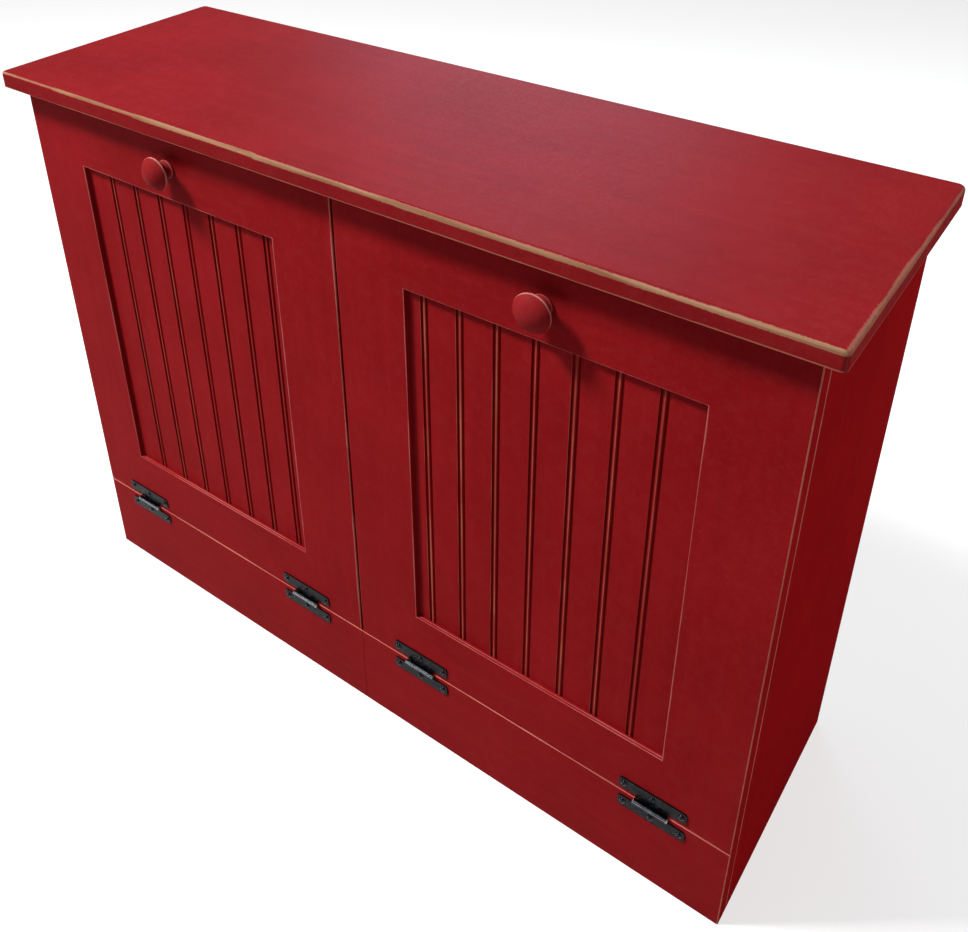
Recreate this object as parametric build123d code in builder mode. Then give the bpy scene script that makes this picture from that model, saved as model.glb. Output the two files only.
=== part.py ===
from build123d import *
from math import cos, radians, sin, tan
import os

# A cabinet with two tilt-out doors, each of which carries a waste bin. Millimetres.
# X runs to the viewer's right, Y towards the back and Z up. The origin is on the floor,
# midway between the ends of the top panel and between the knobs and the back.

# Case
body_width = 952.0
body_depth = 299.0
carcass_height = 724.0
side_thickness = 19.0
divider_thickness = 19.0
bottom_thickness = 12.0
bottom_height = 30.0
dado_depth = 6.0
back_thickness = 6.0
rebate_width = 9.5
header_height = 38.0
header_thickness = 19.0
lower_front_height = 120.0
board_play = 0.3

# Top panel
top_thickness = 19.0
top_side_overhang = 19.0
top_front_overhang = 19.0
top_front_corner = 5.0
top_back_corner = 8.0
top_edge_round = 4.0

# Eased edges of the painted boards
edge_round = 1.2
joint_edge_round = 0.6

# Doors
door_thickness = 19.0
door_back_gap = 1.0
middle_gap = 3.0
door_top_gap = 3.0
door_bottom_gap = 1.5
outer_stile_width = 82.0
inner_stile_width = 84.5
top_rail_width = 81.0
bottom_rail_width = 79.0
panel_recess = 5.5
panel_thickness = 6.0
panel_groove_depth = 9.0
panel_play = 1.0
tilt_limit = 38.0

# Beads of the door panels, each a half-round crest between two grooves
bead_pitch = 41.5
bead_radius = 2.4
bead_groove_width = 2.2
bead_groove_depth = 2.0
left_first_bead = 43.8
right_first_bead = 20.0

# Knobs
knob_radius = 19.05
knob_projection = 28.0
knob_drop = 43.0
knob_foot_radius = 10.8
knob_foot_thickness = 2.2
knob_neck_radius = 8.8
knob_rim_height = 16.4
knob_rim_thickness = 1.4
knob_screw_radius = 2.1
knob_screw_depth = 15.0
knob_screw_head_radius = 4.5
knob_screw_head_height = 2.6
knob_screw_head_taper = 25.0

# H hinges, lying on their sides across the gap under each door
hinge_length = 76.0
hinge_strip_width = 14.5
hinge_strip_offset = 14.5
hinge_corner = 3.0
hinge_tab_width = 37.0
leaf_thickness = 1.6
knuckle_radius = 3.6
knuckle_gap = 0.3
middle_knuckle_length = 12.4
pin_radius = 2.0
pin_clearance = 0.05
pin_head_radius = 3.2
pin_head_length = 1.8
pin_head_taper = 30.0
hinge_to_outer_edge = 86.0
hinge_to_middle = 90.9

# Screws, drawn with few sides because there are many of them
hinge_screw_pitch = 32.3
hinge_screw_radius = 1.7
hinge_screw_head_radius = 3.7
hinge_screw_head_height = 1.9
hinge_screw_head_taper = 28.0
hinge_screw_length = 15.0
shank_sides = 8
head_sides = 12
hole_clearance = 0.05
leaf_hole_clearance = 0.25

# Catches, screwed to the side panels under the headers
catch_header_gap = 16.0
catch_length = 40.0
catch_width = 13.0
catch_depth = 17.0
catch_setback = 1.5
magnet_length = 24.0
magnet_width = 6.0
magnet_depth = 8.5
strike_thickness = 1.2
strike_length = 34.0
strike_gap = 0.3

# Felt dots that the doors close on
bumper_radius = 3.5
bumper_thickness = 0.7
bumper_drop = 34.0
bumper_from_middle = 5.5

# Cradle behind each door
cradle_board = 12.0
cradle_rear_clearance = 22.0
cradle_lift = 9.0
cradle_side_clearance = 4.0
cheek_front_height = 300.0
cheek_horn_depth = 38.0
cheek_rear_height = 100.0
cheek_land_length = 35.0
cheek_sag = 36.0
cradle_rail_height = 60.0
stop_thickness = 19.0
stop_clearance = 0.4

# Waste bins, as large as the cradles and the swing under the headers leave room for
bin_side_clearance = 12.75
bin_rear_setback = 1.0
bin_top_clearance = 98.5
bin_taper = 3.0
bin_wall = 2.2
bin_floor = 3.0
bin_rim_lip = 7.0
bin_rim_height = 9.0
bin_corner = 18.0
bin_rim_corner = 36.0
bin_to_door = 6.0

# Places worked out from the sizes above
half_width = body_width / 2
front_y = (knob_projection - body_depth) / 2
back_y = front_y + body_depth
door_back_y = front_y + door_thickness
case_front_y = door_back_y + door_back_gap
back_panel_y = back_y - back_thickness
top_front_y = front_y - top_front_overhang
side_inner = half_width - side_thickness
divider_face = divider_thickness / 2
bay_middle = (side_inner + divider_face) / 2
door_bottom = lower_front_height + door_bottom_gap
door_top = carcass_height - door_top_gap
opening_bottom = door_bottom + bottom_rail_width
opening_top = door_top - top_rail_width
opening_outer = half_width - outer_stile_width
opening_inner = middle_gap / 2 + inner_stile_width
panel_front_y = front_y + panel_recess
panel_back_y = panel_front_y + panel_thickness
hinge_z = lower_front_height + door_bottom_gap / 2
hinge_y = front_y - knuckle_radius - knuckle_gap
knob_x = (half_width + middle_gap / 2) / 2
knob_height = door_top - knob_drop
header_bottom = carcass_height - header_height
catch_height = header_bottom - catch_header_gap - catch_length / 2
cradle_bottom = door_bottom + cradle_lift
cradle_back_y = back_panel_y - cradle_rear_clearance
shelf_top = cradle_bottom + cradle_board
cheek_outer_face = side_inner - cradle_side_clearance
cheek_inner_face = divider_face + cradle_side_clearance
bin_width = cheek_outer_face - cheek_inner_face - 2 * (cradle_board + bin_side_clearance)
bin_front_y = door_back_y + bin_to_door
bin_depth = cradle_back_y - bin_rear_setback - bin_front_y
bin_height = header_bottom - bin_top_clearance - shelf_top
hinge_places = {"outer": half_width - hinge_to_outer_edge, "inner": hinge_to_middle}
sides = {"left": -1, "right": 1}

# Faces that screws and plates lie on, each looking out of the wood
front_face = Plane.XZ.offset(-front_y)
leaf_face = Plane.XZ.offset(leaf_thickness - front_y)
door_back_face = Plane(origin=(0, door_back_y, 0), x_dir=(-1, 0, 0), z_dir=(0, 1, 0))

os.makedirs("parts", exist_ok=True)


def save(piece, name):
    """Labels a finished piece and writes its STEP file."""
    piece.part.label = name
    export_step(piece.part, f"parts/{name}.step")


def block(x, y, z, mode=Mode.ADD):
    """A block between two X, two Y and two Z, each pair in any order."""
    with Locations((sum(x) / 2, sum(y) / 2, sum(z) / 2)):
        Box(abs(x[1] - x[0]), abs(y[1] - y[0]), abs(z[1] - z[0]), mode=mode)


def hinge_points(sign, up):
    """Screw places of one door's two hinges on the front face: up is 1 on the door, -1 under it."""
    z = hinge_z + up * hinge_strip_offset
    places = [sign * place for place in hinge_places.values()]
    return [(x + step * hinge_screw_pitch, z) for x in places for step in (-1, 0, 1)]


def pilot_holes(points):
    """The mouths, on the front face, of the holes that the hinge screws go into."""
    with BuildSketch(front_face) as mouths:
        with Locations(*points):
            RegularPolygon(hinge_screw_radius + hole_clearance, shank_sides)
    return mouths.sketch


def bead_places(sign):
    """X of each bead of one door's panel."""
    first = right_first_bead if sign > 0 else left_first_bead
    left = min(sign * opening_outer, sign * opening_inner)
    room = opening_outer - opening_inner - first - bead_radius - bead_groove_width
    return [left + first + step * bead_pitch for step in range(int(room // bead_pitch) + 1)]


# Top panel: rounded over all round, with softer corners at the back
with BuildPart() as top_panel:
    with BuildSketch(Plane.XY.offset(carcass_height)):
        with Locations((0, (top_front_y + back_y) / 2)):
            Rectangle(body_width + 2 * top_side_overhang, back_y - top_front_y)
    extrude(amount=top_thickness)
    fillet(top_panel.edges().filter_by(Axis.Z).group_by(Axis.Y)[0], top_front_corner)
    fillet(top_panel.edges().filter_by(Axis.Z).group_by(Axis.Y)[-1], top_back_corner)
    fillet(top_panel.faces().sort_by(Axis.Z)[-1].edges(), top_edge_round)
save(top_panel, "top_panel")


# Side panels: rebated for the back and housed for the bottom panels
for side, sign in sides.items():
    with BuildPart() as side_panel:
        block((sign * side_inner, sign * half_width), (case_front_y, back_y), (0, carcass_height))
        outer_edges = side_panel.faces().filter_by(Axis.X).sort_by(Axis.X)[-1 if sign > 0 else 0]
        fillet(outer_edges.edges().filter_by(Axis.Z), edge_round)
        block(
            (sign * side_inner, sign * (side_inner + rebate_width)),
            (back_panel_y, back_y),
            (0, carcass_height),
            mode=Mode.SUBTRACT,
        )
        block(
            (sign * side_inner, sign * (side_inner + dado_depth)),
            (case_front_y, back_panel_y),
            (bottom_height, bottom_height + bottom_thickness),
            mode=Mode.SUBTRACT,
        )
    save(side_panel, f"{side}_side")


# Divider between the bays
with BuildPart() as center_divider:
    block((-divider_face, divider_face), (case_front_y, back_panel_y), (0, carcass_height))
    for sign in sides.values():
        block(
            (sign * (divider_face - dado_depth), sign * divider_face),
            (case_front_y, back_panel_y),
            (bottom_height, bottom_height + bottom_thickness),
            mode=Mode.SUBTRACT,
        )
save(center_divider, "center_divider")


# Bottom panels, lower front boards and headers, one of each in each bay
for side, sign in sides.items():
    with BuildPart() as bottom_panel:
        block(
            (
                sign * (divider_face - dado_depth + board_play),
                sign * (side_inner + dado_depth - board_play),
            ),
            (case_front_y, back_panel_y),
            (bottom_height, bottom_height + bottom_thickness),
        )
    save(bottom_panel, f"{side}_bottom_panel")

    with BuildPart() as lower_front:
        block((0, sign * half_width), (front_y, case_front_y), (0, lower_front_height))
        front_edges = lower_front.faces().sort_by(Axis.Y)[0].edges()
        outer_first = front_edges.filter_by(Axis.Z).sort_by(Axis.X, reverse=sign > 0)
        fillet([outer_first[0], front_edges.sort_by(Axis.Z)[-1]], edge_round)
        middle_edge = lower_front.faces().sort_by(Axis.Y)[0].edges().filter_by(Axis.Z)
        fillet(middle_edge.sort_by(Axis.X, reverse=sign < 0)[0], joint_edge_round)
        holes = pilot_holes(hinge_points(sign, -1))
        extrude(holes, amount=-hinge_screw_length, mode=Mode.SUBTRACT)
    save(lower_front, f"{side}_lower_front")

    with BuildPart() as header:
        block(
            (sign * divider_face, sign * side_inner),
            (case_front_y, case_front_y + header_thickness),
            (header_bottom, carcass_height),
        )
    save(header, f"{side}_header")


# Back panel, let into the rebates of the sides
with BuildPart() as back_panel:
    reach = side_inner + rebate_width - board_play
    block((-reach, reach), (back_panel_y, back_y), (0, carcass_height))
save(back_panel, "back_panel")


def make_stile(sign, edge_x, opening_x, rounded):
    """An upright of a door's frame, grooved on the side of the opening for the panel."""
    inward = 1 if opening_x > edge_x else -1
    with BuildPart() as stile:
        block((edge_x, opening_x), (front_y, door_back_y), (door_bottom, door_top))
        face_edges = stile.faces().sort_by(Axis.Y)[0].edges()
        ends = face_edges.filter_by(Axis.X)
        edge = face_edges.filter_by(Axis.Z).sort_by(Axis.X, reverse=inward < 0)[0]
        fillet([edge, *ends], rounded)
        block(
            (opening_x - inward * panel_groove_depth, opening_x),
            (panel_front_y, panel_back_y),
            (door_bottom, door_top),
            mode=Mode.SUBTRACT,
        )
        holes = pilot_holes(hinge_points(sign, 1))
        extrude(holes, amount=-hinge_screw_length, mode=Mode.SUBTRACT)
    return stile


def make_rail(sign, z_edge, z_opening, rounded):
    """A cross rail of a door's frame: its tongues fill the stiles' grooves."""
    up = 1 if z_edge > z_opening else -1
    groove_floor = z_opening + up * panel_groove_depth
    tongue = panel_groove_depth - board_play
    with BuildPart() as rail:
        block(
            (sign * opening_inner, sign * opening_outer),
            (front_y, door_back_y),
            (z_edge, z_opening),
        )
        outer_edge = rail.faces().sort_by(Axis.Y)[0].edges().filter_by(Axis.X)
        fillet(outer_edge.sort_by(Axis.Z, reverse=up > 0)[0], rounded)
        block(
            (sign * opening_inner, sign * opening_outer),
            (panel_front_y, panel_back_y),
            (z_opening, groove_floor),
            mode=Mode.SUBTRACT,
        )
        for x, outward in ((opening_outer, 1), (opening_inner, -1)):
            block(
                (sign * x, sign * (x + outward * tongue)),
                (panel_front_y, panel_back_y),
                (groove_floor, z_edge),
            )
        holes = pilot_holes(hinge_points(sign, 1))
        extrude(holes, amount=-hinge_screw_length, mode=Mode.SUBTRACT)
        with BuildSketch(front_face):
            with Locations((sign * knob_x, knob_height)):
                RegularPolygon(knob_screw_radius + hole_clearance, shank_sides)
        extrude(amount=-door_thickness, mode=Mode.SUBTRACT)
    return rail


def make_beadboard(sign):
    """The panel of a door: a beaded sheet that floats in the frame's grooves."""
    reach = panel_groove_depth - panel_play
    low, high = opening_inner - reach, opening_outer + reach
    with BuildPart() as panel:
        with BuildSketch(Plane.XY.offset(opening_bottom - reach)):
            with Locations((sign * (low + high) / 2, (panel_front_y + panel_back_y) / 2)):
                Rectangle(high - low, panel_thickness)
            with Locations(*[(x, panel_front_y) for x in bead_places(sign)]):
                Rectangle(
                    2 * (bead_radius + bead_groove_width),
                    2 * bead_groove_depth,
                    mode=Mode.SUBTRACT,
                )
            with Locations(*[(x, panel_front_y + bead_radius) for x in bead_places(sign)]):
                Circle(bead_radius)
        extrude(amount=opening_top - opening_bottom + 2 * reach)
    return panel


def make_knob(sign):
    """A turned knob: a flared foot, a neck, a sharp rim and a domed face."""
    centre = (sign * knob_x, front_y, knob_height)
    underside_start = knob_foot_thickness + (knob_rim_height - knob_foot_thickness) / 2
    dome_height = knob_projection - knob_rim_height - knob_rim_thickness
    dome_radius = (knob_radius**2 + dome_height**2) / (2 * dome_height)
    with BuildPart() as knob:
        with BuildSketch(Plane(origin=centre, x_dir=(1, 0, 0), z_dir=(0, 0, -1))):
            with BuildLine():
                foot = Polyline((0, 0), (knob_foot_radius, 0), (knob_foot_radius, knob_foot_thickness))
                neck = ThreePointArc(
                    foot @ 1,
                    (knob_neck_radius, (knob_foot_thickness + underside_start) / 2),
                    (knob_foot_radius, underside_start),
                )
                flare = TangentArc(neck @ 1, (knob_radius, knob_rim_height), tangent=neck % 1)
                rim = Line(flare @ 1, (knob_radius, knob_rim_height + knob_rim_thickness))
                RadiusArc(rim @ 1, (0, knob_projection), -dome_radius)
                Line((0, knob_projection), (0, 0))
            make_face()
        revolve(axis=Axis(centre, (0, -1, 0)))
        with BuildSketch(front_face):
            with Locations((sign * knob_x, knob_height)):
                RegularPolygon(knob_screw_radius + hole_clearance, shank_sides)
        extrude(amount=knob_screw_depth + board_play, mode=Mode.SUBTRACT)
    return knob


def make_knob_screw(sign):
    """The machine screw that holds a knob, put in from the back of the door."""
    with BuildPart() as screw:
        with BuildSketch(door_back_face):
            with Locations((-sign * knob_x, knob_height)):
                RegularPolygon(knob_screw_radius, shank_sides)
        extrude(amount=-(door_thickness + knob_screw_depth))
        with BuildSketch(door_back_face):
            with Locations((-sign * knob_x, knob_height)):
                RegularPolygon(knob_screw_head_radius, head_sides)
        extrude(amount=knob_screw_head_height, taper=knob_screw_head_taper)
    return screw


def make_leaf(hinge_x, up, knuckles):
    """One leaf of an H hinge: strip, tab and rolled knuckles. up is 1 on the door, -1 under it."""
    strip_edge = hinge_strip_offset - hinge_strip_width / 2
    swing_clearance = knuckle_radius + knuckle_gap
    with BuildPart() as leaf:
        with BuildSketch(front_face):
            with Locations((hinge_x, hinge_z + up * hinge_strip_offset)):
                RectangleRounded(hinge_length, hinge_strip_width, hinge_corner)
            with Locations((hinge_x, hinge_z + up * (strip_edge + swing_clearance) / 2)):
                Rectangle(hinge_tab_width, strip_edge - swing_clearance)
            for start, end in knuckles:
                with Locations((hinge_x + (start + end) / 2, hinge_z + up * strip_edge / 2)):
                    Rectangle(end - start, strip_edge)
            with Locations((hinge_x, hinge_z + up * hinge_strip_offset)):
                with GridLocations(hinge_screw_pitch, 1, 3, 1):
                    RegularPolygon(
                        hinge_screw_radius + leaf_hole_clearance,
                        shank_sides,
                        mode=Mode.SUBTRACT,
                    )
        extrude(amount=leaf_thickness)
        for start, end in knuckles:
            with BuildSketch(Plane(origin=(hinge_x + start, hinge_y, hinge_z), z_dir=(1, 0, 0))):
                Circle(knuckle_radius)
            extrude(amount=end - start)
        with BuildSketch(Plane(origin=(hinge_x, hinge_y, hinge_z), z_dir=(1, 0, 0))):
            Circle(pin_radius + pin_clearance)
        extrude(amount=hinge_length / 2, both=True, mode=Mode.SUBTRACT)
    return leaf


def make_pins(sign):
    """The pins of one door's two hinges, with a button head at each end."""
    half = hinge_tab_width / 2
    with BuildPart() as pins:
        for place in hinge_places.values():
            middle = Plane(origin=(sign * place, hinge_y, hinge_z), z_dir=(1, 0, 0))
            with BuildSketch(middle):
                Circle(pin_radius)
            extrude(amount=half, both=True)
            for end in (-1, 1):
                with BuildSketch(middle.offset(end * half)):
                    RegularPolygon(pin_head_radius, head_sides)
                extrude(amount=end * pin_head_length, taper=pin_head_taper)
    return pins


def make_face_screws(points):
    """Round-headed screws on the front of the hinge leaves."""
    with BuildPart() as screws:
        with BuildSketch(leaf_face):
            with Locations(*points):
                RegularPolygon(hinge_screw_radius, shank_sides)
        extrude(amount=-hinge_screw_length)
        with BuildSketch(leaf_face):
            with Locations(*points):
                RegularPolygon(hinge_screw_head_radius, head_sides)
        extrude(amount=hinge_screw_head_height, taper=hinge_screw_head_taper)
    return screws


def make_cheek(inner_x, outer_x):
    """A side of the cradle: a board with a swept edge, a horn at the door and a land at the back."""
    horn = (door_back_y + cheek_horn_depth, cradle_bottom + cheek_front_height)
    land = (cradle_back_y - cheek_land_length, cradle_bottom + cheek_rear_height)
    with BuildPart() as cheek:
        with BuildSketch(Plane.YZ.offset(min(inner_x, outer_x))):
            with BuildLine():
                lower = Polyline(
                    horn,
                    (door_back_y, horn[1]),
                    (door_back_y, cradle_bottom),
                    (cradle_back_y, cradle_bottom),
                    (cradle_back_y, land[1]),
                    land,
                )
                SagittaArc(lower @ 1, lower @ 0, cheek_sag)
            make_face()
        extrude(amount=abs(outer_x - inner_x))
    return cheek


def make_cradle_board(sign, y, z):
    """The cradle's shelf or back rail, between the cheeks."""
    inner = cheek_inner_face + cradle_board
    outer = cheek_outer_face - cradle_board
    with BuildPart() as board:
        block((sign * inner, sign * outer), y, z)
    return board


def make_bin(sign):
    """A tapered waste bin with a thick rim, standing on the cradle's shelf."""
    middle = (sign * bay_middle, bin_front_y + bin_depth / 2)
    shrink = 2 * bin_height * tan(radians(bin_taper))
    body_x = bin_width - 2 * bin_rim_lip
    body_y = bin_depth - 2 * bin_rim_lip
    with BuildPart() as waste_bin:
        with BuildSketch(Plane.XY.offset(shelf_top)) as outside:
            with Locations(middle):
                Rectangle(body_x - shrink, body_y - shrink)
            chamfer(outside.vertices(), bin_corner)
        extrude(amount=bin_height, taper=-bin_taper)
        with BuildSketch(Plane.XY.offset(shelf_top + bin_height - bin_rim_height)) as rim:
            with Locations(middle):
                Rectangle(bin_width, bin_depth)
            chamfer(rim.vertices(), bin_rim_corner)
        extrude(amount=bin_rim_height)
        with BuildSketch(Plane.XY.offset(shelf_top + bin_floor)) as inside:
            with Locations(middle):
                inset = shrink + 2 * bin_wall
                Rectangle(body_x - inset, body_y - inset)
            chamfer(inside.vertices(), bin_corner)
        extrude(amount=bin_height, taper=-bin_taper, mode=Mode.SUBTRACT)
    return waste_bin


def make_catch(sign):
    """A magnetic catch's housing, screwed to the side panel and slotted for the magnet."""
    front = case_front_y + catch_setback
    low_z, high_z = catch_height - catch_length / 2, catch_height + catch_length / 2
    middle_x = sign * (side_inner - catch_width / 2)
    with BuildPart() as catch:
        block(
            (sign * (side_inner - catch_width), sign * side_inner),
            (front, front + catch_depth),
            (low_z, high_z),
        )
        fillet(catch.edges().filter_by(Axis.Y), edge_round)
        block(
            (middle_x - magnet_width / 2, middle_x + magnet_width / 2),
            (front, front + magnet_depth),
            (catch_height - magnet_length / 2, catch_height + magnet_length / 2),
            mode=Mode.SUBTRACT,
        )
    return catch


def make_catch_magnet(sign):
    """The magnet of a catch: it stands a little forward of its housing, towards the strike."""
    middle_x = sign * (side_inner - catch_width / 2)
    front = door_back_y + strike_thickness + strike_gap
    with BuildPart() as magnet:
        block(
            (middle_x - magnet_width / 2, middle_x + magnet_width / 2),
            (front, case_front_y + catch_setback + magnet_depth),
            (catch_height - magnet_length / 2, catch_height + magnet_length / 2),
        )
    return magnet


def make_strike(sign):
    """The steel plate on a door's back that the magnet holds."""
    with BuildPart() as strike:
        block(
            (sign * (side_inner - catch_width), sign * side_inner),
            (door_back_y, door_back_y + strike_thickness),
            (catch_height - strike_length / 2, catch_height + strike_length / 2),
        )
        fillet(strike.edges().filter_by(Axis.Y), edge_round)
    return strike


# Doors with their frames, panels and knobs
for side, sign in sides.items():
    outer_stile = make_stile(sign, sign * half_width, sign * opening_outer, edge_round)
    save(outer_stile, f"{side}_door_outer_stile")
    inner_stile = make_stile(sign, sign * middle_gap / 2, sign * opening_inner, edge_round)
    save(inner_stile, f"{side}_door_inner_stile")
    save(make_rail(sign, door_top, opening_top, edge_round), f"{side}_door_top_rail")
    save(make_rail(sign, door_bottom, opening_bottom, edge_round), f"{side}_door_bottom_rail")
    save(make_beadboard(sign), f"{side}_beadboard")
    save(make_knob(sign), f"{side}_knob")
    save(make_knob_screw(sign), f"{side}_knob_screw")


# Hinges: the middle knuckle is on the door's leaf and the outer two are on the leaf under it
middle_reach = middle_knuckle_length / 2
outer_reach = middle_reach + knuckle_gap
tab_reach = hinge_tab_width / 2
door_knuckles = [(-middle_reach, middle_reach)]
base_knuckles = [(-tab_reach, -outer_reach), (outer_reach, tab_reach)]
for side, sign in sides.items():
    for place, hinge_x in hinge_places.items():
        save(make_leaf(sign * hinge_x, 1, door_knuckles), f"{side}_{place}_hinge_door_leaf")
        save(make_leaf(sign * hinge_x, -1, base_knuckles), f"{side}_{place}_hinge_base_leaf")
    save(make_pins(sign), f"{side}_hinge_pins")
    save(make_face_screws(hinge_points(sign, 1)), f"{side}_hinge_door_screws")
    save(make_face_screws(hinge_points(sign, -1)), f"{side}_hinge_base_screws")


# Cradles and bins
for side, sign in sides.items():
    outer_faces = (sign * (cheek_outer_face - cradle_board), sign * cheek_outer_face)
    inner_faces = (sign * cheek_inner_face, sign * (cheek_inner_face + cradle_board))
    save(make_cheek(*outer_faces), f"{side}_cradle_outer_cheek")
    save(make_cheek(*inner_faces), f"{side}_cradle_inner_cheek")
    shelf = make_cradle_board(sign, (door_back_y, cradle_back_y), (cradle_bottom, shelf_top))
    save(shelf, f"{side}_cradle_shelf")
    rail_y = (cradle_back_y - cradle_board, cradle_back_y)
    rail = make_cradle_board(sign, rail_y, (shelf_top, shelf_top + cradle_rail_height))
    save(rail, f"{side}_cradle_back_rail")
    save(make_bin(sign), f"{side}_bin")


# Catches and strikes
for side, sign in sides.items():
    save(make_catch(sign), f"{side}_catch")
    save(make_catch_magnet(sign), f"{side}_catch_magnet")
    save(make_strike(sign), f"{side}_strike")


# Stop blocks: where the lands of the cheeks arrive when a door is fully tilted
tilt = radians(tilt_limit)
tilted_frame = Plane(
    origin=(0, hinge_y, hinge_z),
    x_dir=(0, cos(tilt), sin(tilt)),
    z_dir=(1, 0, 0),
)
land_middle = cradle_back_y - cheek_land_length / 2 - hinge_y
land_top = cradle_bottom + cheek_rear_height - hinge_z
stop_reach = cradle_side_clearance + cradle_board
with BuildPart() as stop_blocks:
    for x in (
        -side_inner,
        -divider_face - stop_reach,
        divider_face,
        side_inner - stop_reach,
    ):
        with BuildSketch(tilted_frame.offset(x)):
            with Locations((land_middle, land_top + stop_clearance + stop_thickness / 2)):
                Rectangle(cheek_land_length, stop_thickness)
        extrude(amount=stop_reach)
save(stop_blocks, "stop_blocks")


# Felt dots on the front edges of the case
with BuildPart() as door_bumpers:
    with BuildSketch(Plane.XZ.offset(-case_front_y)):
        for x in (half_width - side_thickness / 2, bumper_from_middle):
            with Locations((-x, carcass_height - bumper_drop), (x, carcass_height - bumper_drop)):
                RegularPolygon(bumper_radius, head_sides)
    extrude(amount=bumper_thickness)
save(door_bumpers, "door_bumpers")
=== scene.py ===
import bpy
import bmesh
from math import cos, pi, radians, sin, tan
from mathutils import Matrix, Vector


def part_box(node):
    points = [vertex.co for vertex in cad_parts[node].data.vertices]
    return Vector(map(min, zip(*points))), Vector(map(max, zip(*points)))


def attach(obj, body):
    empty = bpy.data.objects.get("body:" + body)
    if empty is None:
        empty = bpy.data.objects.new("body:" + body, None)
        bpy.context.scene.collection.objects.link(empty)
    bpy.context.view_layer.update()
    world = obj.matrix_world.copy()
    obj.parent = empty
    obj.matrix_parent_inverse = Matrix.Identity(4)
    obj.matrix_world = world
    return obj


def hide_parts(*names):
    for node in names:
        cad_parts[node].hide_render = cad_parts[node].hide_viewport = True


# A painted cabinet with two tilt-out doors that carry waste bins, in metres.
# Object coordinates are the cabinet's own at rest, so wear is placed by real positions.

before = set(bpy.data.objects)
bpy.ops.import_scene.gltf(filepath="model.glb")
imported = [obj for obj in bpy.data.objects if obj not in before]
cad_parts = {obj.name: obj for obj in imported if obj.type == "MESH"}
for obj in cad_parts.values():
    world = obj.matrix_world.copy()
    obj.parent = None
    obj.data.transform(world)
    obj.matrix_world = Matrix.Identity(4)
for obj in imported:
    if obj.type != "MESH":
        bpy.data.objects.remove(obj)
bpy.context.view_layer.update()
mm = 0.001
sides = {"left": -1, "right": 1}
hinge_places = ("outer", "inner")
knuckle_radius = 3.6 * mm

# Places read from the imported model
top_low, top_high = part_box("top_panel")
case_low, case_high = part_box("right_side")
lower_low, lower_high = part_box("right_lower_front")
outer_stile_low, outer_stile_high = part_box("right_door_outer_stile")
inner_stile_low, inner_stile_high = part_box("right_door_inner_stile")
door_leaf_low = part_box("right_outer_hinge_door_leaf")[0]
half_width = case_high.x
front_y = outer_stile_low.y
door_back_y = outer_stile_high.y
case_front_y = case_low.y
back_y = case_high.y
door_bottom, door_top = outer_stile_low.z, outer_stile_high.z
opening_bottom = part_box("right_door_bottom_rail")[1].z
opening_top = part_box("right_door_top_rail")[0].z
opening_inner, opening_outer = inner_stile_high.x, outer_stile_low.x
hinge_line_y, hinge_line_z = door_leaf_low.y + knuckle_radius, door_leaf_low.z + knuckle_radius

# Colours as they are seen in a plain light. The X faces' cast multiplies the paint on faces along X:
# painted shade that leaves them a deeper, purer red.
paint_red = (0.262, 0.0074, 0.0100, 1)
paint_deep = (0.215, 0.0054, 0.0074, 1)
paint_dark = (0.150, 0.0020, 0.0036, 1)
paint_thin = (0.440, 0.122, 0.114, 1)
painted_side_shade = (0.98, 0.42, 0.50, 1)
top_thin = (0.320, 0.105, 0.068, 1)
top_wood = ((0.215, 0.098, 0.046, 1), (0.345, 0.185, 0.104, 1))
stained_wood = ((0.420, 0.110, 0.075, 1), (0.600, 0.170, 0.115, 1))
groove_thin = (0.330, 0.080, 0.052, 1)
groove_wood = ((0.230, 0.050, 0.030, 1), (0.370, 0.104, 0.058, 1))
knob_wood = ((0.450, 0.170, 0.120, 1), (0.600, 0.250, 0.180, 1))
ply_dark = (0.340, 0.150, 0.060, 1)
pine_light = (0.640, 0.440, 0.240, 1)
pine_dark = (0.450, 0.270, 0.120, 1)
iron_dark = (0.0018, 0.0020, 0.0026, 1)
iron_light = (0.016, 0.018, 0.022, 1)
# Painted shade for the hinge leaves' edges
iron_edge_shade = (0.0010, 0.0011, 0.0014, 1)
# Bare bluish metal for the barrel's rubbed band, which also works as a painted highlight
iron_rubbed_highlight = (0.215, 0.222, 0.255, 1)
felt_dark = (0.16, 0.13, 0.10, 1)
felt_light = (0.38, 0.32, 0.25, 1)
white = (1, 1, 1, 1)


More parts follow.
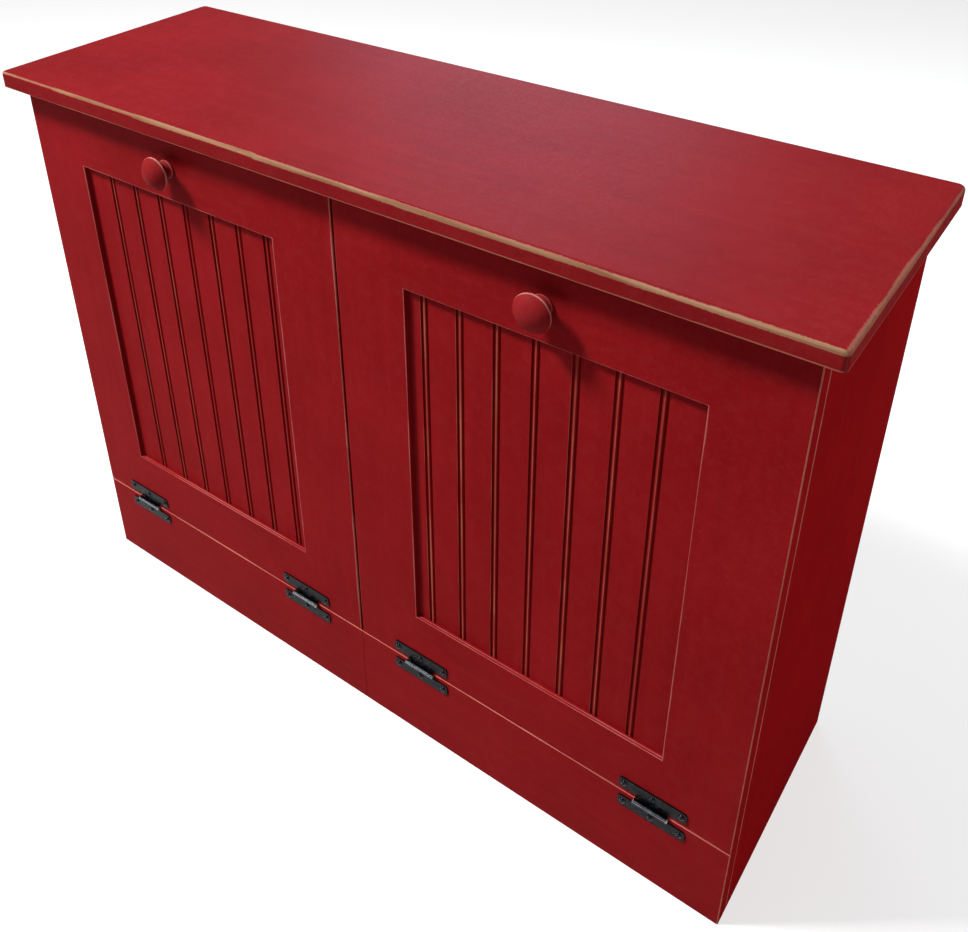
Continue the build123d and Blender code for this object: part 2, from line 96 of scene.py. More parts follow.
class Graph:
    """A new material and short calls for adding nodes to it."""

    def __init__(self, name):
        self.material = bpy.data.materials.new(name)
        self.material.use_nodes = True
        self.tree = self.material.node_tree
        self.shader = self.tree.nodes["Principled BSDF"]
        self.output = self.tree.nodes["Material Output"]
        places = self.tree.nodes.new("ShaderNodeTexCoord")
        self.place = places.outputs["Object"]
        self.normal = places.outputs["Normal"]

    def add(self, kind, inputs=(), **settings):
        node = self.tree.nodes.new(kind)
        for key, value in settings.items():
            setattr(node, key, value)
        for key, value in dict(inputs).items():
            self.feed(node.inputs[key], value)
        return node

    def feed(self, socket, value):
        if isinstance(value, bpy.types.NodeSocket):
            self.tree.links.new(value, socket)
        else:
            socket.default_value = value

    def math(self, operation, first, second=0.0, clamp=False):
        inputs = {0: first, 1: second}
        return self.add("ShaderNodeMath", inputs, operation=operation, use_clamp=clamp).outputs[0]

    def vector(self, operation, first, second=(0, 0, 0)):
        """A sum on vectors. A distance or a length is a plain number, the others are vectors."""
        node = self.add("ShaderNodeVectorMath", {0: first, 1: second}, operation=operation)
        return node.outputs["Value" if operation in ("DISTANCE", "LENGTH") else "Vector"]

    def length(self, first, second):
        """The length of two distances taken square to each other."""
        both = self.add("ShaderNodeCombineXYZ", {0: first, 1: second}).outputs[0]
        return self.vector("LENGTH", both)

    def weighed(self, *terms):
        """The sum of terms, each a pair of value and weight."""
        total = None
        for value, weight in terms:
            part = self.math("MULTIPLY", value, weight)
            total = part if total is None else self.math("ADD", total, part)
        return total

    def axes(self, place=None):
        return self.add("ShaderNodeSeparateXYZ", {0: place or self.place}).outputs

    def step(self, value, start, end, low=0.0, high=1.0):
        """Rises smoothly from low to high as the value goes from start to end."""
        inputs = {"Value": value, "From Min": start, "From Max": end, "To Min": low, "To Max": high}
        node = self.add("ShaderNodeMapRange", inputs, interpolation_type="SMOOTHSTEP")
        return node.outputs["Result"]

    def facing(self, axis, start=0.6, end=0.95):
        """Goes from 0 to 1 as the part of a face's direction along an axis goes from start to end."""
        return self.step(self.math("ABSOLUTE", self.axes(self.normal)[axis]), start, end)

    def blend(self, share, low, high):
        """A colour that goes from low to high as the share goes from 0 to 1."""
        inputs = {0: share, 6: low, 7: high}
        return self.add("ShaderNodeMix", inputs, data_type="RGBA").outputs[2]

    def noise(self, stretch, detail=3.0, roughness=0.55, distortion=0.0):
        """Noise with so many lumps per metre along X, Y and Z."""
        scaled = self.vector("MULTIPLY", self.place, stretch)
        inputs = {
            "Vector": scaled,
            "Scale": 1.0,
            "Detail": detail,
            "Roughness": roughness,
            "Distortion": distortion,
        }
        return self.add("ShaderNodeTexNoise", inputs).outputs[0]

    def cells(self, scale, feature="F1"):
        """Distance to the middle of the nearest of so many cells per metre."""
        inputs = {"Vector": self.place, "Scale": scale}
        return self.add("ShaderNodeTexVoronoi", inputs, feature=feature).outputs["Distance"]

    def bump(self, height, depth, strength):
        inputs = {"Height": height, "Distance": depth, "Strength": strength}
        return self.add("ShaderNodeBump", inputs).outputs["Normal"]

    def finish(self, **sockets):
        """Feeds the shader: base_color=..., roughness=... and so on."""
        for key, value in sockets.items():
            socket = key.replace("_", " ").title().replace("Ior", "IOR")
            self.feed(self.shader.inputs[socket], value)
        return self.material


def grained(grain, along, across):
    """Lumps per metre along the axis of a board's grain and across it, for noise."""
    return tuple(along if axis == grain else across for axis in "xyz")


def edge_wear(graph, edges):
    """Distance to the nearest edge, in shares of the width worn there."""
    nearest = None
    for start, end, width in edges:
        low = tuple(map(min, start, end))
        high = tuple(map(max, start, end))
        inside = graph.vector("MINIMUM", graph.vector("MAXIMUM", graph.place, low), high)
        share = graph.math("DIVIDE", graph.vector("DISTANCE", graph.place, inside), width)
        nearest = share if nearest is None else graph.math("MINIMUM", nearest, share)
    return nearest


def rub_through(graph, colour, worn, thin_paint, wood):
    """Thins the paint near worn edges and bares the wood along those that are rubbed most.

    worn is a pair of distances in shares of the worn width: to edges rubbed down to the wood,
    or None for none, and to edges where the paint is only thin. Gives the colour and how rubbed
    and how bare it is.
    """
    bare_share, thin_share = worn
    rubs = graph.step(graph.noise((13, 13, 13), detail=2.0), 0.36, 0.64, -0.5, 0.5)
    nicks = graph.math("SUBTRACT", graph.noise((330, 330, 330), detail=3.0, roughness=0.6), 0.5)
    ragged = graph.math("ADD", thin_share, graph.weighed((rubs, 0.7), (nicks, 0.8)))
    rubbed = graph.step(ragged, 1.10, 0.45)
    bared = 0.0
    if bare_share is not None:
        ragged = graph.math("ADD", bare_share, graph.weighed((rubs, 0.20), (nicks, 0.75)))
        rubbed = graph.math("MAXIMUM", graph.step(ragged, 1.20, 0.92), rubbed)
        bared = graph.step(ragged, 0.98, 0.80)
    colour = graph.blend(graph.math("MULTIPLY", rubbed, 0.85), colour, thin_paint)
    if bare_share is not None:
        colour = graph.blend(bared, colour, wood)
    return colour, rubbed, bared


def brushed_paint(graph, grain, cast):
    """The unworn paint: its colour, its brush marks as a height, and the mottle in both."""
    cloud = graph.noise((7, 7, 7), detail=2.0)
    streaks = graph.noise(grained(grain, 5, 90), detail=4.0, distortion=0.6)
    fibres = graph.noise(grained(grain, 40, 900), detail=3.0)
    mottle = graph.noise((260, 260, 260), detail=4.0, roughness=0.7)
    blotch = graph.noise((75, 75, 75), detail=3.0, roughness=0.65)
    tone = graph.weighed((cloud, 0.6), (streaks, 0.4))
    colour = graph.blend(graph.step(tone, 0.3, 0.7), paint_deep, paint_red)
    # The cast is painted shade or painted sheen wherever it is not plain white.
    colour = graph.vector("MULTIPLY", colour, cast)
    colour = graph.blend(graph.step(blotch, 0.40, 0.70, 0.0, 0.024), colour, paint_thin)
    colour = graph.blend(graph.step(mottle, 0.50, 0.80, 0.0, 0.06), colour, paint_thin)
    colour = graph.blend(graph.step(mottle, 0.46, 0.25, 0.0, 0.16), colour, paint_dark)
    height = graph.weighed((streaks, 0.5), (fibres, 0.3), (mottle, 0.35))
    return colour, height, mottle


def paint(
    name, wear, grain="z", gloss=0.012, bared_wood=stained_wood, thin_paint=paint_thin,
    cast=(1, 1, 1), matte="X",
):
    """Old red satin paint over wood, brushed along the grain and rubbed through where it is worn.

    wear(graph) gives the worn pair of rub_through. The cast multiplies the paint's colour as painted
    shade or painted sheen, faces that look along X get painted shade, and faces that look along a
    matte axis have no sheen.
    """
    graph = Graph(name)
    colour, height, mottle = brushed_paint(graph, grain, cast)
    roughness = graph.step(mottle, 0.25, 0.75, 0.42, 0.56)
    # Painted shade: faces that look along X are made a deeper, purer red.
    side_shade_colour = graph.blend(graph.facing("X"), white, painted_side_shade)
    colour = graph.vector("MULTIPLY", colour, side_shade_colour)
    for axis in matte:
        roughness = graph.math("MAXIMUM", roughness, graph.facing(axis))
    ring = graph.noise(grained(grain, 5, 90), detail=5.0, distortion=1.5)
    wood = graph.blend(graph.step(ring, 0.35, 0.65), *bared_wood)
    colour, rubbed, bared = rub_through(graph, colour, wear(graph), thin_paint, wood)
    roughness = graph.math("ADD", roughness, graph.math("MULTIPLY", bared, 0.18), clamp=True)
    height = graph.math("SUBTRACT", height, graph.math("MULTIPLY", rubbed, 0.5))
    return graph.finish(
        base_color=colour,
        roughness=roughness,
        specular_ior_level=gloss,
        normal=graph.bump(height, 0.18 * mm, 0.6),
    )


ply_count = 5


def plywood(name, thickness_axis, box, grain):
    """Sealed plywood: long grain on the faces and dark and light plies on the edges."""
    graph = Graph(name)
    low, high = box
    number = "xyz".index(thickness_axis)
    figure = graph.noise(grained(grain, 3, 70), detail=5.0, roughness=0.6, distortion=1.8)
    pores = graph.noise(grained(grain, 27, 630), detail=2.0)
    face = graph.blend(graph.step(figure, 0.25, 0.66), pine_dark, pine_light)
    face = graph.blend(graph.step(pores, 0.60, 0.75, 0.0, 0.45), face, pine_dark)
    depth = graph.math("SUBTRACT", graph.axes()[number], low[number])
    plies = graph.math("MULTIPLY", depth, ply_count * pi / (high[number] - low[number]))
    band = graph.math("ABSOLUTE", graph.math("SINE", plies))
    layer = graph.blend(graph.step(band, 0.35, 0.6), ply_dark, pine_light)
    colour = graph.blend(graph.facing(number, 0.6, 0.4), face, layer)
    height = graph.math("ADD", figure, graph.math("MULTIPLY", pores, 0.5))
    return graph.finish(
        base_color=colour,
        roughness=graph.step(figure, 0.3, 0.7, 0.5, 0.62),
        specular_ior_level=0.3,
        normal=graph.bump(height, 0.15 * mm, 0.5),
    )


def pine(name, grain="x"):
    """Sealed solid pine with rings that run along the board."""
    graph = Graph(name)
    figure = graph.noise(grained(grain, 2.2, 36), detail=4.0, roughness=0.5, distortion=2.2)
    rings = graph.math("ABSOLUTE", graph.math("SINE", graph.math("MULTIPLY", figure, 26.0)))
    pores = graph.noise(grained(grain, 35.2, 576), detail=2.0)
    colour = graph.blend(graph.step(rings, 0.1, 0.9), pine_dark, pine_light)
    height = graph.math("ADD", rings, pores)
    return graph.finish(
        base_color=colour,
        roughness=graph.step(rings, 0.0, 1.0, 0.62, 0.5),
        specular_ior_level=0.3,
        normal=graph.bump(height, 0.12 * mm, 0.5),
    )


def hammered_iron(name):
    """Black paint over hammered steel, with painted shade that makes it blacker off the leaves' faces.

    It is rubbed down to bluish metal along the upper front of the barrel, the band where the key
    lamp's highlight falls, so that it is wear and a painted highlight both.
    """
    graph = Graph(name)
    dents = graph.cells(420, feature="SMOOTH_F1")
    grit = graph.noise((1500, 1500, 1500), detail=3.0)
    patches = graph.noise((160, 160, 160), detail=3.0)
    colour = graph.blend(graph.step(patches, 0.40, 0.75), iron_dark, iron_light)
    # Painted shade: faces off Y, such as the leaves' edges, are blacker.
    colour = graph.blend(graph.facing("Y", 0.97, 0.80), colour, iron_edge_shade)
    place = graph.axes()
    depth = graph.math("ADD", place["Y"], graph.math("MULTIPLY", grit, 1.2 * mm))
    # Wear and a painted highlight both: bare metal in the band where the key lamp's highlight falls.
    rubbed_highlight = graph.math(
        "MULTIPLY",
        graph.step(depth, hinge_line_y - 1.0 * mm, hinge_line_y - 2.2 * mm),
        graph.step(place["Z"], hinge_line_z + 0.5 * mm, hinge_line_z + 1.6 * mm),
    )
    colour = graph.blend(rubbed_highlight, colour, iron_rubbed_highlight)
    height = graph.math("ADD", dents, graph.math("MULTIPLY", grit, 0.2))
    return graph.finish(
        base_color=colour,
        metallic=graph.step(rubbed_highlight, 0.0, 1.0, 0.0, 0.95),
        roughness=graph.step(patches, 0.2, 0.8, 0.18, 0.30),
        specular_ior_level=0.06,
        normal=graph.bump(height, 0.5 * mm, 0.55),
    )


def metal(name, colour, dark, roughness, lines=(700, 700, 60)):
    """A drawn or plated metal with fine lines and slight stains."""
    graph = Graph(name)
    drawn = graph.noise(lines, detail=2.0)
    stains = graph.noise((210, 210, 210), detail=3.0)
    base = graph.blend(graph.step(stains, 0.45, 0.75), colour, dark)
    return graph.finish(
        base_color=base,
        metallic=1.0,
        roughness=graph.step(stains, 0.3, 0.8, roughness, roughness + 0.18),
        normal=graph.bump(drawn, 0.05 * mm, 0.5),
    )


def plastic(name, colour, light, grain_scale, roughness):
    """Moulded plastic with a fine leather-like grain and faint scuffs."""
    graph = Graph(name)
    grain = graph.cells(grain_scale)
    scuffs = graph.noise((30, 30, 340), detail=4.0, roughness=0.7)
    base = graph.blend(graph.step(scuffs, 0.62, 0.85, 0.0, 0.6), colour, light)
    return graph.finish(
        base_color=base,
        roughness=graph.step(scuffs, 0.3, 0.8, roughness, roughness + 0.14),
        normal=graph.bump(grain, 0.25 * mm, 0.35),
    )


def felt(name):
    """Pressed wool with short fibres."""
    graph = Graph(name)
    fibres = graph.noise((2400, 2400, 2400), detail=3.0, roughness=0.8)
    colour = graph.blend(fibres, felt_dark, felt_light)
    return graph.finish(
        base_color=colour,
        roughness=0.95,
        sheen_weight=0.4,
        normal=graph.bump(fibres, 0.4 * mm, 0.8),
    )


def dress(node, material):
    """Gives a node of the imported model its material."""
    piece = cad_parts[node]
    piece.data.materials.clear()
    piece.data.materials.append(material)


# Where the paint is rubbed: straight edges, each with its two ends and the width worn there
wide_rub = 3.6 * mm
thin_rub = 1.2 * mm
hair_rub = 0.9 * mm


def along_x(x, y, z, width):
    return ((x[0], y, z), (x[1], y, z), width)


def along_y(x, y, z, width):
    return ((x, y[0], z), (x, y[1], z), width)


def along_z(x, y, z, width):
    return ((x, y, z[0]), (x, y, z[1]), width)


# The top's front edge from left to right: from and to as shares of its length, the worn width
# as a share of the widest, and how far below the edge
top_stretches = (
    (0.00, 0.10, 0.52, 0.3 * mm),
    (0.10, 0.24, 0.66, 0.4 * mm),
    (0.24, 0.42, 0.82, 0.9 * mm),
    (0.42, 0.60, 0.74, 2.3 * mm),
    (0.60, 1.00, 0.66, 2.8 * mm),
)
underside_break_x = -60 * mm


def top_edges():
    """Wide wear along the front, less along the ends, and thin paint along the back and the underside."""
    x, y = (top_low.x, top_high.x), (top_low.y, top_high.y)
    bare = [along_y(end, y, top_high.z - 0.8 * mm, wide_rub * 0.35) for end in x]
    for start, end, rub, drop in top_stretches:
        stretch = tuple(x[0] + share * (x[1] - x[0]) for share in (start, end))
        bare.append(along_x(stretch, y[0], top_high.z - drop, wide_rub * rub))
    thin = [
        along_x((x[0], underside_break_x), y[0], top_low.z, hair_rub * 0.9),
        along_x((underside_break_x, x[1]), y[0], top_low.z + 0.2 * mm, hair_rub * 1.1),
        along_y(x[1], y, top_low.z, hair_rub * 0.7),
        along_x(x, y[1], top_high.z, thin_rub),
        *(along_y(end, y, top_high.z - 1.4 * mm, wide_rub * 0.9) for end in x),
    ]
    return bare, thin


def side_edges(sign):
    x, height = sign * half_width, (case_low.z, case_high.z)
    bare = [along_z(x, case_front_y, height, hair_rub)]
    thin = [
        along_z(x, back_y, height, hair_rub),
        along_y(x, (case_front_y, back_y), case_low.z, hair_rub),
    ]
    return bare, thin


def lower_front_edges(sign):
    x, height = (0.0, sign * half_width), (lower_low.z, lower_high.z)
    bare = [
        along_x(x, front_y, lower_high.z, thin_rub * 0.66),
        along_z(x[1] - sign * 0.5 * mm, front_y, height, hair_rub * 0.8),
    ]
    thin = [
        along_z(x[1], case_front_y, height, thin_rub),
        along_x(x, front_y, lower_low.z, hair_rub),
    ]
    return bare, thin


def outer_stile_edges(sign):
    outside, height = sign * half_width, (door_bottom, door_top)
    opening = hair_rub * (1.15 if sign > 0 else 1.1)
    bare = [along_z(outside - sign * 0.5 * mm, front_y, height, hair_rub * 0.8)]
    thin = [
        along_x((outside, sign * opening_outer), front_y, door_bottom, thin_rub),
        along_z(outside, door_back_y, height, hair_rub),
        along_x((outside, sign * opening_outer), front_y, door_top, hair_rub),
        along_z(sign * opening_outer, front_y, (opening_bottom, opening_top), opening),
    ]
    return bare, thin


def inner_stile_edges(sign):
    gap_side, height = sign * inner_stile_low.x, (door_bottom, door_top)
    opening = hair_rub * (1.0 if sign > 0 else 1.3)
    bare = [] if sign > 0 else [along_z(gap_side - 0.4 * mm, front_y, height, hair_rub * 0.7)]
    thin = [
        along_x((gap_side, sign * opening_inner), front_y, door_bottom, thin_rub),
        along_z(gap_side, front_y, height, hair_rub * (0.8 if sign > 0 else 1.8)),
        along_x((gap_side, sign * opening_inner), front_y, door_top, hair_rub),
        along_z(sign * opening_inner, front_y, (opening_bottom, opening_top), opening),
    ]
    return bare, thin


def top_rail_edges(sign):
    x = (sign * opening_inner, sign * opening_outer)
    thin = [
        along_x(x, front_y, door_top, hair_rub),
        along_x(x, front_y, opening_top, hair_rub * 0.7),
    ]
    return [], thin


def bottom_rail_edges(sign):
    x = (sign * opening_inner, sign * opening_outer)
    thin = [
        along_x(x, front_y, door_bottom, thin_rub),
        along_x(x, front_y, opening_bottom, hair_rub * 0.8),
        along_x(x, front_y + panel_recess * 0.55, opening_bottom, hair_rub * 0.6),
    ]
    return [], thin


def worn_pair(graph, edges):
    """Distances to the bare edges and to the thin ones, in shares of their widths."""
    return tuple(edge_wear(graph, group) for group in edges)


# The beads of the door panels
panel_recess = 5.5 * mm
bead_pitch = 41.5 * mm
bead_half_width = 4.6 * mm
first_bead = {"left": 43.8 * mm, "right": 20.0 * mm}
last_bead = 6
# The least and the greatest width rubbed on a bead's crest, and on the lip of its groove
bead_rub = {
    "left": ((0.15 * mm, 0.52 * mm), (0.05 * mm, 0.20 * mm)),
    "right": ((0.48 * mm, 0.95 * mm), (0.12 * mm, 0.60 * mm)),
}


def bead_wear(graph, side):
    """Rubbed along each bead's crest, some more than others, and here and there on the groove's lip."""
    crest_width, lip_width = bead_rub[side]
    sign = sides[side]
    start = min(sign * opening_outer, sign * opening_inner) + first_bead[side]
    across, depth = graph.axes()[:2]
    steps = graph.math("DIVIDE", graph.math("SUBTRACT", across, start), bead_pitch)
    nearest = graph.math("MINIMUM", graph.math("MAXIMUM", graph.math("ROUND", steps), 0), last_bead)
    crest = graph.math("ADD", graph.math("MULTIPLY", nearest, bead_pitch), start)
    aside = graph.math("SUBTRACT", across, crest)
    behind = graph.math("SUBTRACT", depth, front_y + panel_recess)
    seed = {"W": graph.math("ADD", nearest, 0.37)}
    chance = graph.add("ShaderNodeTexWhiteNoise", seed, noise_dimensions="1D").outputs["Value"]
    patchy = graph.step(graph.noise((30, 30, 14), detail=3.0), 0.36, 0.64, 0.6, 0.0)

    def share(offset, widths):
        away = graph.length(graph.math("SUBTRACT", aside, offset), behind)
        away = graph.math("DIVIDE", away, graph.step(chance, 0.0, 1.0, *widths))
        return graph.math("ADD", away, patchy)

    return share(0.0, crest_width), share(-bead_half_width, lip_width)


# The knobs
knob_low, knob_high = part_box("right_knob")
knob_middle = (knob_low + knob_high) / 2
knob_rim_y = front_y - 17.1 * mm
knob_rim_radius = (knob_high.x - knob_low.x) / 2
knob_foot_y = front_y - 2.2 * mm
knob_foot_radius = 10.8 * mm
# Widths rubbed on the rim, from its lower left to its upper right, and on the foot
knob_bare_widths = (0.3 * mm, 0.95 * mm)
knob_thin_widths = (0.5 * mm, 1.5 * mm)
knob_foot_width = 0.7 * mm


def knob_wear(graph, sign):
    """Bare round the rim, most on its upper right, and thin on the foot's edge."""
    across, depth, height = graph.axes()
    aside = graph.math("SUBTRACT", across, sign * knob_middle.x)
    up = graph.math("SUBTRACT", height, knob_middle.z)
    out = graph.length(aside, up)

    def share(radius, level, width):
        away = graph.length(graph.math("SUBTRACT", out, radius), graph.math("SUBTRACT", depth, level))
        return graph.math("DIVIDE", away, width)

    upper_right = graph.math("ADD", graph.math("MULTIPLY", aside, 0.5), up)
    turned = (-knob_rim_radius, knob_rim_radius * 0.4)
    bare_width, thin_width = (
        graph.step(upper_right, *turned, *widths) for widths in (knob_bare_widths, knob_thin_widths)
    )
    thin_rim = share(knob_rim_radius, knob_rim_y, thin_width)
    foot = share(knob_foot_radius, knob_foot_y, knob_foot_width)
    return share(knob_rim_radius, knob_rim_y, bare_width), graph.math("MINIMUM", thin_rim, foot)


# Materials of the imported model's own nodes
iron = hammered_iron("hammered_iron")
screw_black = metal(
    "screw_black", colour=(0.024, 0.025, 0.030, 1), dark=(0.008, 0.008, 0.010, 1), roughness=0.20
)
dark_steel = metal(
    "dark_steel", colour=(0.30, 0.30, 0.33, 1), dark=(0.10, 0.10, 0.11, 1), roughness=0.22,
    lines=(60, 900, 900),
)
zinc = metal("zinc", colour=(0.62, 0.62, 0.63, 1), dark=(0.38, 0.37, 0.36, 1), roughness=0.30)
magnet_face = metal("magnet", colour=(0.12, 0.12, 0.12, 1), dark=(0.07, 0.065, 0.06, 1), roughness=0.5)
catch_brown = plastic(
    "catch_plastic", colour=(0.20, 0.12, 0.07, 1), light=(0.32, 0.22, 0.14, 1), grain_scale=900,
    roughness=0.42,
)
bin_grey = plastic(
    "bin_plastic", colour=(0.045, 0.047, 0.051, 1), light=(0.11, 0.11, 0.115, 1), grain_scale=1400,
    roughness=0.44,
)
felt_dots = felt("felt")

top_coat = paint(
    "paint_top",
    lambda g: worn_pair(g, top_edges()),
    grain="x",
    gloss=0.09,
    bared_wood=top_wood,
    thin_paint=top_thin,
    # Painted shade that darkens the top, a little less in blue as a faint painted sheen
    cast=(0.84, 0.84, 0.87),
    matte="XY",
)
dress("top_panel", top_coat)
dress("center_divider", plywood("divider_plywood", "x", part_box("center_divider"), "z"))
dress("back_panel", plywood("back_plywood", "y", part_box("back_panel"), "z"))
dress("stop_blocks", pine("stop_pine", "y"))
dress("door_bumpers", felt_dots)

# Painted boards, with where each is worn and the axis of its grain
painted_boards = {
    "side": (side_edges, "z"),
    "lower_front": (lower_front_edges, "x"),
    "door_outer_stile": (outer_stile_edges, "z"),
    "door_inner_stile": (inner_stile_edges, "z"),
    "door_top_rail": (top_rail_edges, "x"),
    "door_bottom_rail": (bottom_rail_edges, "x"),
}
# Plywood boards, with the axes of their thickness and of their grain
plywood_boards = {
    "bottom_panel": ("z", "x"),
    "cradle_shelf": ("z", "x"),
    "cradle_outer_cheek": ("x", "z"),
    "cradle_inner_cheek": ("x", "z"),
    "cradle_back_rail": ("y", "x"),
}
board_gloss = {"side": 0.008}
for side, sign in sides.items():
    for board, (edges, grain) in painted_boards.items():
        worn = edges(sign)
        node = f"{side}_{board}"
        coat = paint(
            f"paint_{node}",
            lambda g, worn=worn: worn_pair(g, worn),
            grain,
            gloss=board_gloss.get(board, 0.012),
        )
        dress(node, coat)
    beads = paint(
        f"paint_{side}_beads",
        lambda g, s=side: bead_wear(g, s),
        bared_wood=groove_wood,
        thin_paint=groove_thin,
    )
    dress(f"{side}_beadboard", beads)
    turned_coat = paint(
        f"paint_{side}_knob",
        lambda g, s=sign: knob_wear(g, s),
        gloss=0.015,
        bared_wood=knob_wood,
        # Painted sheen: lifts green and blue so the knob shows a pinker red
        cast=(0.96, 1.9, 1.65),
        matte="",
    )
    dress(f"{side}_knob", turned_coat)
    dress(f"{side}_header", pine(f"{side}_header_pine"))
    for board, (thickness, grain) in plywood_boards.items():
        node = f"{side}_{board}"
        dress(node, plywood(f"{node}_plywood", thickness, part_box(node), grain))
    for place in hinge_places:
        dress(f"{side}_{place}_hinge_door_leaf", iron)
        dress(f"{side}_{place}_hinge_base_leaf", iron)
    dress(f"{side}_knob_screw", zinc)
    dress(f"{side}_strike", zinc)
    dress(f"{side}_catch", catch_brown)
    dress(f"{side}_catch_magnet", magnet_face)


# Pieces made here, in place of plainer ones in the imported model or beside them
def add_piece(name, shape, material, body, crease=38):
    """A piece from a finished mesh shape, smooth but for creases of so many degrees."""
    mesh = bpy.data.meshes.new(name)
    shape.to_mesh(mesh)
    shape.free()
    mesh.materials.append(material)
    mesh.shade_smooth()
    mesh.set_sharp_from_angle(angle=radians(crease))
    piece = bpy.data.objects.new(name, mesh)
    bpy.context.scene.collection.objects.link(piece)
    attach(piece, body)
    return piece


def skin(shape, rings):
    """Closes a solid over rings of as many points each, one above the other."""
    for lower, upper in zip(rings, rings[1:]):
        for step in range(len(lower)):
            shape.faces.new((lower[step - 1], lower[step], upper[step], upper[step - 1]))
    shape.faces.new(reversed(rings[0]))
    shape.faces.new(rings[-1])
    bmesh.ops.recalc_face_normals(shape, faces=shape.faces)


def turned_ring(shape, radius, height, steps):
    """A ring of points about the Z axis. The radius is a size or a function of the angle."""
    points = []
    for step in range(steps):
        angle = 2 * pi * step / steps
        size = radius(angle) if callable(radius) else radius
        points.append(shape.verts.new((size * cos(angle), size * sin(angle), height)))
    return points


def shape_mesh(name, shape):
    """A plain mesh from a shape, to be copied or cut."""
    mesh = bpy.data.meshes.new(name)
    shape.to_mesh(mesh)
    shape.free()
    return mesh


def cross_recess(width, reach, depth):
    """The tapered cross that a driver leaves in a screw's head, as a solid to cut with."""
    shape = bmesh.new()
    arm = [(reach, -width), (reach, width), (width, width)]
    quarters = ((1, 0), (0, 1), (-1, 0), (0, -1))
    outline = [(x * c - y * s, x * s + y * c) for c, s in quarters for x, y in arm]
    rings = []
    for height, share in ((-depth, 0.45), (2 * depth, 1.9)):
        rings.append([shape.verts.new((x * share, y * share, height)) for x, y in outline])
    skin(shape, rings)
    return shape_mesh("recess", shape)


screw_sides = 20
thread_pitch = 1.25 * mm
thread_start = -2.2 * mm
screw_point = 4 * mm


def thread_radius(height, core, crest):
    """The radius round a threaded shank at this height, as a function of the angle."""

    def radius(angle):
        turn = (height / thread_pitch - angle / (2 * pi)) % 1.0
        return core + crest * max(0.0, 1 - 3.2 * abs(turn - 0.5))

    return radius


def make_screw(name, head, shank, length):
    """A cross-headed wood screw along -Z, its seat at 0. head is its outline as (radius, height)."""
    shape = bmesh.new()
    rings = [turned_ring(shape, radius, height, screw_sides) for radius, height in head]
    rings.append(turned_ring(shape, shank, head[-1][1] - 0.3 * mm, screw_sides))
    height = thread_start
    while height > -length:
        taper = min(1.0, (length + height) / screw_point)
        radius = thread_radius(height, shank * 0.72 * taper + 0.05 * mm, shank * 0.34 * taper)
        rings.append(turned_ring(shape, radius, height, screw_sides))
        height -= thread_pitch / 4
    skin(shape, rings[::-1])
    return shape_mesh(name, shape)


def cut_recess(screw, head_top, head_radius):
    """Cuts the driver's cross into the top of a screw's head."""
    cutter = cross_recess(0.13 * head_radius, 0.52 * head_radius, 0.45 * head_radius)
    cutter.transform(Matrix.Translation((0, 0, head_top)))
    holders = [bpy.data.objects.new(mesh.name, mesh) for mesh in (screw, cutter)]
    for holder in holders:
        bpy.context.scene.collection.objects.link(holder)
    cut = holders[0].modifiers.new("recess", "BOOLEAN")
    cut.operation = "DIFFERENCE"
    cut.solver = "EXACT"
    cut.object = holders[1]
    depsgraph = bpy.context.evaluated_depsgraph_get()
    result = bpy.data.meshes.new_from_object(holders[0].evaluated_get(depsgraph))
    for holder in holders:
        bpy.data.objects.remove(holder)
    return result


def domed_screw(name, radius, height, shank, length):
    """A screw with a round head."""
    steps = [radians(angle) for angle in (8, 26, 44, 60, 74, 86)]
    head = [(radius * sin(angle), height * cos(angle)) for angle in steps]
    head += [(radius, 0.0), (shank * 1.1, -0.02 * mm)]
    return cut_recess(make_screw(name, head, shank, length), height, radius)


def flat_screw(name, radius, proud, shank, length):
    """A countersunk screw whose flat head stands a little proud of the wood."""
    head = [(radius * 0.5, proud), (radius - 0.25 * mm, proud), (radius, proud - 0.2 * mm)]
    head += [(radius, -0.3 * mm), (shank * 1.1, -0.3 * mm - (radius - shank))]
    return cut_recess(make_screw(name, head, shank, length), proud, radius)


def set_screws(name, screw, places, outward, material, body):
    """One piece of as many like screws as there are places, each turned by another angle."""
    shape = bmesh.new()
    stand = Vector(outward).to_track_quat("Z", "Y").to_matrix().to_4x4()
    for number, place in enumerate(places):
        copy = screw.copy()
        twist = Matrix.Rotation(radians(67 * number + 15), 4, "Z")
        copy.transform(Matrix.Translation(place) @ stand @ twist)
        shape.from_mesh(copy)
        bpy.data.meshes.remove(copy)
    return add_piece(name, shape, material, body)


# Screws and pins of the hinges
leaf_thickness = 1.6 * mm
strip_width = 14.5 * mm
strip_screw_pitch = 32.3 * mm
pin_radius = 2.0 * mm
pin_head_radius = 3.2 * mm
pin_head_height = 1.8 * mm
pin_sides = 24
barrel_length = 37.0 * mm
hinge_screw = domed_screw("hinge_screw", 3.7 * mm, 1.9 * mm, 1.7 * mm, 15 * mm)


def strip_places(leaf, up):
    """Where the three screws of a leaf sit. up is 1 on the door and -1 under it."""
    low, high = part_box(leaf)
    middle_x = (low.x + high.x) / 2
    middle_z = high.z - strip_width / 2 if up > 0 else low.z + strip_width / 2
    face_y = front_y - leaf_thickness
    return [Vector((middle_x + step * strip_screw_pitch, face_y, middle_z)) for step in (-1, 0, 1)]


